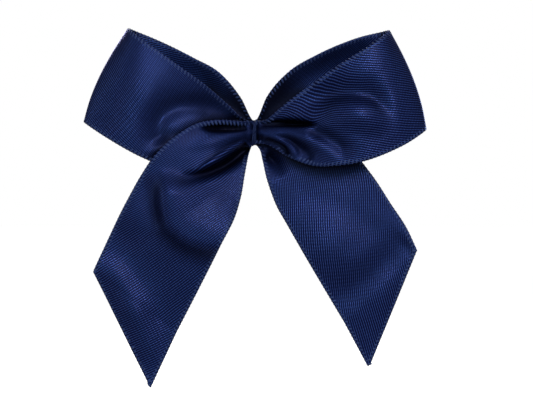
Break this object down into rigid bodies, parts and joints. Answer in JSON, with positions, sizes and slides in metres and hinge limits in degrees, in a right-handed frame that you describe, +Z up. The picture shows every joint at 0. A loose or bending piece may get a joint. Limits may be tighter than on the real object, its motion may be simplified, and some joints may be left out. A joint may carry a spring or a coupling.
{
  "type": "hair bow",
  "caption": "Two-loop satin ribbon hair bow with slanted tails, gathered by thread and glued to a lined, sprung single-prong clip.",
  "frame": {"origin": "middle of the clip's grip, straight behind the knot, midway between the closed jaws", "axes": "+Z up as worn, -Y towards the viewer, +Y towards the head, +X to the viewer's right, which is the lever end of the clip"},
  "size_m": [0.0548, 0.0157, 0.0571],
  "materials": {
    "satin": "double-face polyester satin, navy, with a stitched selvedge",
    "thread": "waxed polyester thread, navy",
    "glue": "hot-melt glue, milky",
    "grosgrain": "ribbed grosgrain, navy",
    "clip_steel": "nickel-plated pressed steel",
    "pin_steel": "nickel-plated steel rivet",
    "spring_steel": "bright spring wire"
  },
  "bodies": {
    "bow": {"ribbon_left_loop": "satin", "ribbon_right_loop": "satin", "ribbon_left_shoulder": "satin", "ribbon_right_shoulder": "satin", "binding_thread": "thread", "glue_pad": "glue", "clip_lining": "grosgrain", "clip_front_arm": "clip_steel", "hinge_pin": "pin_steel", "torsion_spring": "spring_steel"},
    "left_tail": {"ribbon_left_tail": "satin"},
    "right_tail": {"ribbon_right_tail": "satin"},
    "jaw": {"clip_rear_arm": "clip_steel"}
  },
  "joints": [
    {"name": "clip_jaw", "type": "hinge", "parent": "bow", "child": "jaw", "pos_m": [0.0095, 0.0011, 0], "axis": [0, 0, -1], "range_deg": [0, 30], "stiffness_Nm_per_rad": 0.02, "springref_deg": -34.38, "deforming": ["torsion_spring"]},
    {"name": "left_tail_swing", "type": "hinge", "parent": "bow", "child": "left_tail", "pos_m": [-0.01045, -0.009, -0.0102], "axis": [-0.8957, 0, 0.4447], "range_deg": [-8, 70], "stiffness_Nm_per_rad": 0.0002},
    {"name": "right_tail_swing", "type": "hinge", "parent": "bow", "child": "right_tail", "pos_m": [0.01165, -0.0051, -0.0103], "axis": [-0.8729, 0, -0.4879], "range_deg": [-8, 70], "stiffness_Nm_per_rad": 0.0002}
  ]
}
